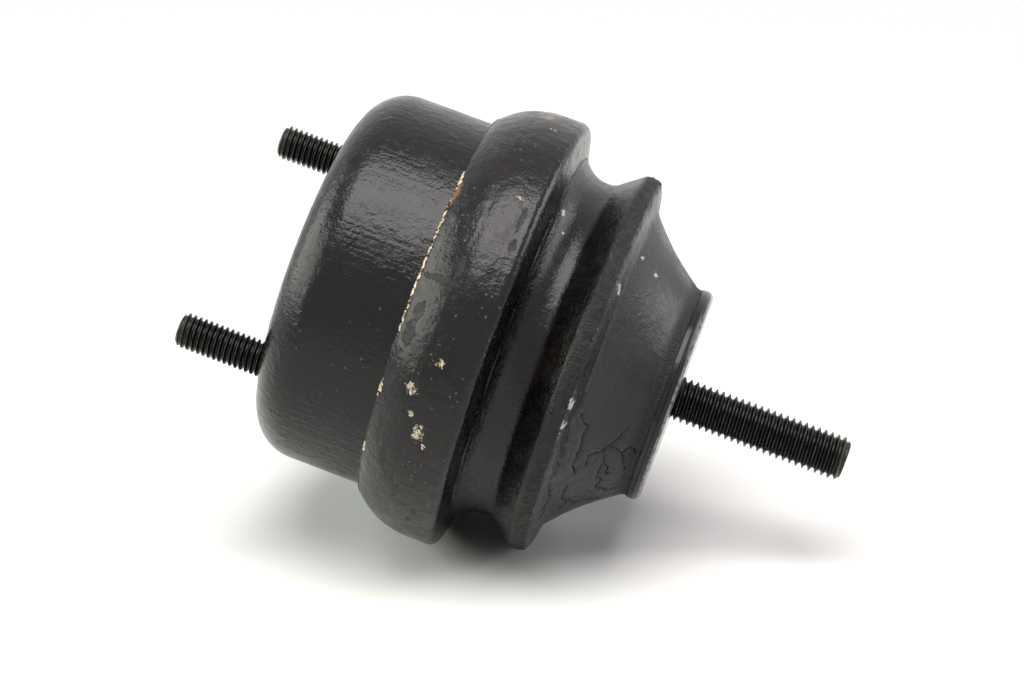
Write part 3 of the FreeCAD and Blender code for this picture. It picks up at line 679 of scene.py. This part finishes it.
RUBBER_STEP = 0.50 * MM
RUBBER_COLUMNS = 448
CRACKS = [
    (0.55, ((-38, 69.0), (-33, 71.5), (-27, 71.5), (-22, 71.5), (-17, 71.0), (-12, 72.0))),
    (0.75, ((-27, 71.5), (-24, 71.5), (-22, 71.5))),
    (0.40, ((-6, 71.5), (2, 71.0), (8, 72.0), (14, 71.0))),
    (0.40, ((-22, 76.5), (-15, 77.0), (-8, 76.5), (-2, 77.5), (4, 77.0))),
    (0.40, ((-15, 77.0), (-12, 78.0), (-6, 78.5))),
    (0.45, ((-24, 77.5), (-20, 79.5), (-14, 80.5), (-7, 81.5))),
    (0.40, ((-35, 79.5), (-29, 78.5), (-24, 77.5), (-18, 73.5))),
    (0.35, ((-20, 79.5), (-23, 81.0), (-20, 82.5))),
    (0.35, ((8, 72.0), (13, 74.0), (16, 76.5), (22, 78.0))),
    (0.35, ((-20, 73.5), (-14, 74.0))),
    (0.35, ((4, 77.0), (9, 79.0), (11, 80.5))),
    (0.40, ((-45, 68.5), (-36, 68.0), (-24, 68.5), (-12, 68.0), (-2, 68.5), (10, 68.0))),
    (0.35, ((150, 71.0), (160, 72.0), (168, 71.0), (176, 73.0))),
    (0.35, ((100, 76.0), (108, 77.5), (118, 77.0))),
]
RUBBER_SPOTS = [
    Spot("chip", -100, 69.5, 0.9, 0.6, 0.05), Spot("chip", -102, 73.5, 1.1, 0.5, 0.05),
    Spot("chip", -80, 67.5, 1.4, 0.5, 0.05), Spot("chip", -43, 67.0, 1.6, 0.35, 0.04),
    Spot("chip", -98, 50.5, 1.1, 0.7, 0.05), Spot("chip", -92, 52.0, 0.5, 0.5, 0.05),
    Spot("chip", -36, 67.0, 1.2, 0.3, 0.04), Spot("chip", 130, 70.0, 1.0, 0.6, 0.05),
]
TORN_LEVELS = (63.3, 66.9)
LIP_CORNERS = (63.6, 66.7)
CRACK_REACH = 1.5
CONE_LEVEL = 67.2
CONE_TOP = 82.0
CONE_HOLLOW = 0.75        # how far the cone's side sinks in at its middle


def rubber_wear(angle, height, radius, place):
    """A leathery skin, a lip trimmed rough all round, and old cracks low on the cone."""
    low, high = TORN_LEVELS
    torn = smooth_step(low - 0.5, low + 0.2, height) * (1 - smooth_step(high - 0.2, high + 0.3, height))
    ragged = rough(place, 0.9, 1.0)
    around = Vector((place.x, place.y, place.z * 0.35))
    hairs = abs(rough(around, 0.8, 2.0)) + 0.6 * abs(rough(around, 1.9, 6.0))
    depth = 0.06 * (1 + rough(place, 6.0)) + 0.03 * (1 + rough(place, 1.8, 4.0))
    depth += torn * (0.60 * hairs + 0.15 * (1 + rough(place, 8.0, 11.0)))
    for corner in LIP_CORNERS:
        rounding = 0.5 + 0.5 * abs(rough(place, 2.0, 17.0)) + 0.4 * rough(place, 5.0, 19.0)
        depth += 0.42 * rounding * math.exp(-((height - corner) / 0.45) ** 2)
    line, crack, groove = CRACK_REACH, 0.0, 0.0
    if height > CONE_LEVEL:
        sway = Vector((rough(place, 1.6, 21.0), rough(place, 1.6, 31.0)))
        for width, points in CRACKS:
            off, past = off_line(points, angle + 1.3 * sway.x, height + 0.6 * sway.y, radius)
            if abs(off) < CRACK_REACH and not past:
                groove = max(groove, 1 - smooth_step(0.1 * width, width, abs(off)))
            if abs(off) < abs(line):
                line = off * 0.5 / width
                crack = 0.0 if past else 1.0
    share = max(0.0, min(1.0, (height - CONE_LEVEL) / (CONE_TOP - CONE_LEVEL)))
    depth += CONE_HOLLOW * math.sin(math.pi * share) + 0.3 * groove
    # The neck next to the disc is given the torn lip's dark, rough look, rising towards the disc.
    neck = smooth_step(79.8, 81.8, height)
    chip = 0.0
    for spot in RUBBER_SPOTS:
        if abs(height - spot.height) < 2.5 * spot.along:
            chip = max(chip, spot_weight(spot, angle, height, radius, ragged))
    edge = math.exp(-((height - high) / 0.28) ** 2) * (0.35 + 0.35 * rough(place, 2.2, 14.0))
    values = {"crack": crack, "line": line, "torn": max(torn, 0.8 * neck), "chip": max(chip, edge),
              "cone": smooth_step(CONE_LEVEL - 0.4, CONE_LEVEL + 0.4, height)}
    return depth, values


def make_rubber():
    """The rubber spring, worn on its outside from the ring's fold to the disc."""
    path, _ = section("rubber_spring")
    fold = max(section("crimp_ring")[0], key=lambda place: place[1])
    foot = min(path, key=lambda place: math.dist(place, fold))
    top = max(path, key=lambda place: (round(place[1], 5), place[0]))
    first, last = sorted((path.index(foot), path.index(top)))
    rows, fine = [], []
    for index, place in enumerate(path[:-1]):
        shown = first <= index < last
        points = cut_fine(place, path[index + 1], RUBBER_STEP if shown else 1.0)
        rows += points
        fine += [shown] * len(points)
    rows.append(path[-1])
    fine.append(False)
    mesh = turned_mesh("rubber_spring_worn", rows, fine, RUBBER_COLUMNS, rubber_wear,
                       ("crack", "line", "torn", "chip", "cone"), on_axis=True)
    place_piece("rubber_spring_worn", mesh, spring_rubber(), "rubber_spring")


# ------------------------------------------------------------------ the studs

THREAD_DEPTH = 0.61       # of the pitch
ROWS_A_PITCH = 18
STUD_COLUMNS = 72


def thread_depth(share):
    """How deep a 60 degree thread is at a share of its pitch, from 0 on the crest to 1 at the root."""
    off = abs((share % 1.0) - 0.5) * 2
    return 1 - max(0.0, min(1.0, (off - 0.25) / 0.625))


def make_stud(node, centre, pitch):
    """A stud with its thread cut from the plain cylinder of the CAD node."""
    path, _ = section(node, centre)
    levels = [height for _, height in path]
    up = 1 if node == "top_stud" else -1
    tip = max(levels) if up > 0 else min(levels)
    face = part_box("armature")[1][2] if up > 0 else 0.0
    radius = max(place[0] for place in path if (place[1] - face) * up > 0.5 * MM)
    rows = []
    for start, end in zip(path, path[1:]):
        clear = min((start[1] - face) * up, (end[1] - face) * up)
        threaded = clear > -0.01 * MM and start[1] != end[1]
        rows += cut_fine(start, end, pitch / ROWS_A_PITCH if threaded else 2 * MM)
    rows.append(path[-1])
    mesh = bpy.data.meshes.new(node + "_thread")
    body = bmesh.new()
    crest_layer, tip_layer = (body.verts.layers.float.new(layer) for layer in ("crest", "tip"))
    rings = []
    for wide, height in rows:
        if wide < 1e-6:
            rings.append([body.verts.new((centre, 0, height))])
            continue
        ring = []
        for column in range(STUD_COLUMNS):
            share = column / STUD_COLUMNS
            angle = FULL_TURN * share
            out = Vector((math.cos(angle), math.sin(angle), 0))
            off = (height - face) * up
            deep = 0.0
            if off > 0.02 * MM:
                deep = thread_depth(height / pitch - share)
                deep *= smooth_step(0.0, 0.4 * pitch, off)
            knock = 0.03 * MM * (1 + rough(out * radius / MM + Vector((centre, 0, height)) / MM, 1.5))
            thread = radius - deep * THREAD_DEPTH * pitch - (knock if off > 0 else 0.0)
            real = min(wide, thread) if off > 0.02 * MM else wide
            vertex = body.verts.new(Vector((centre, 0, height)) + out * real)
            vertex[crest_layer] = max(0.0, 1 - 4 * deep) if off > 0 else 0.0
            vertex[tip_layer] = 1 - smooth_step(0.5 * MM, 3.5 * MM, abs(tip - height))
            ring.append(vertex)
        rings.append(ring)
    for low, high in zip(rings, rings[1:]):
        bridge(body, low, high, STUD_COLUMNS)
    bmesh.ops.recalc_face_normals(body, faces=body.faces)
    body.to_mesh(mesh)
    body.free()
    smooth(mesh, 60)
    return mesh


def make_studs():
    """The top stud and both base studs, with their threads."""
    oxide = stud_oxide()
    place_piece("top_stud_thread", make_stud("top_stud", 0.0, 1.5 * MM), oxide, "top_stud")
    for name in ("base_stud_1", "base_stud_2"):
        low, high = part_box(name)
        centre = (low[0] + high[0]) / 2
        place_piece(name + "_thread", make_stud(name, centre, 1.25 * MM), oxide, name)


# ------------------------------------------------------------------ the scene

def paint_nodes():
    """Finishes for the CAD nodes that stay."""
    steel = hidden_metal("inner_steel", (0.30, 0.30, 0.29, 1), (0.46, 0.45, 0.44, 1), 1.0, 0.42)
    cast = hidden_metal("track_cast", (0.50, 0.50, 0.51, 1), (0.66, 0.66, 0.67, 1), 1.0, 0.50)
    rubber = hidden_metal("inner_rubber", (0.018, 0.018, 0.019, 1), (0.040, 0.040, 0.042, 1), 0.0, 0.60)
    finishes = {"lower_can": can_paint(), "armature": disc_paint(), "stud_plate": steel,
                "diaphragm_ring": steel, "support_ring": steel, "track_plate": cast,
                "orifice_plate": cast, "diaphragm": rubber, "decoupler": rubber}
    for name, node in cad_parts.items():
        node.data.materials[0] = finishes.get(name, steel)


def make_table():
    """The table: a wide white sheet that is seen from above only."""
    normal, reach = resting_plane()
    side = normal.orthogonal().normalized()
    other = normal.cross(side)
    mesh = bpy.data.meshes.new("table")
    middle = -normal * reach
    turns = ((-1, -1), (1, -1), (1, 1), (-1, 1))
    mesh.from_pydata([middle + (side * u + other * v) * TABLE_SIZE for u, v in turns], [], [(0, 1, 2, 3)])
    mesh.materials.append(table_white())
    link("table", mesh)


def main():
    """The scene: camera, table, lamps, finishes and the worn pieces."""
    back = make_camera()
    up, _ = resting_plane()
    toward = (back - up * back.dot(up)).normalized()
    make_table()
    light_scene(toward)
    paint_nodes()
    make_ring()
    make_rubber()
    make_studs()
    bpy.context.scene.view_settings.view_transform = "Standard"


main()
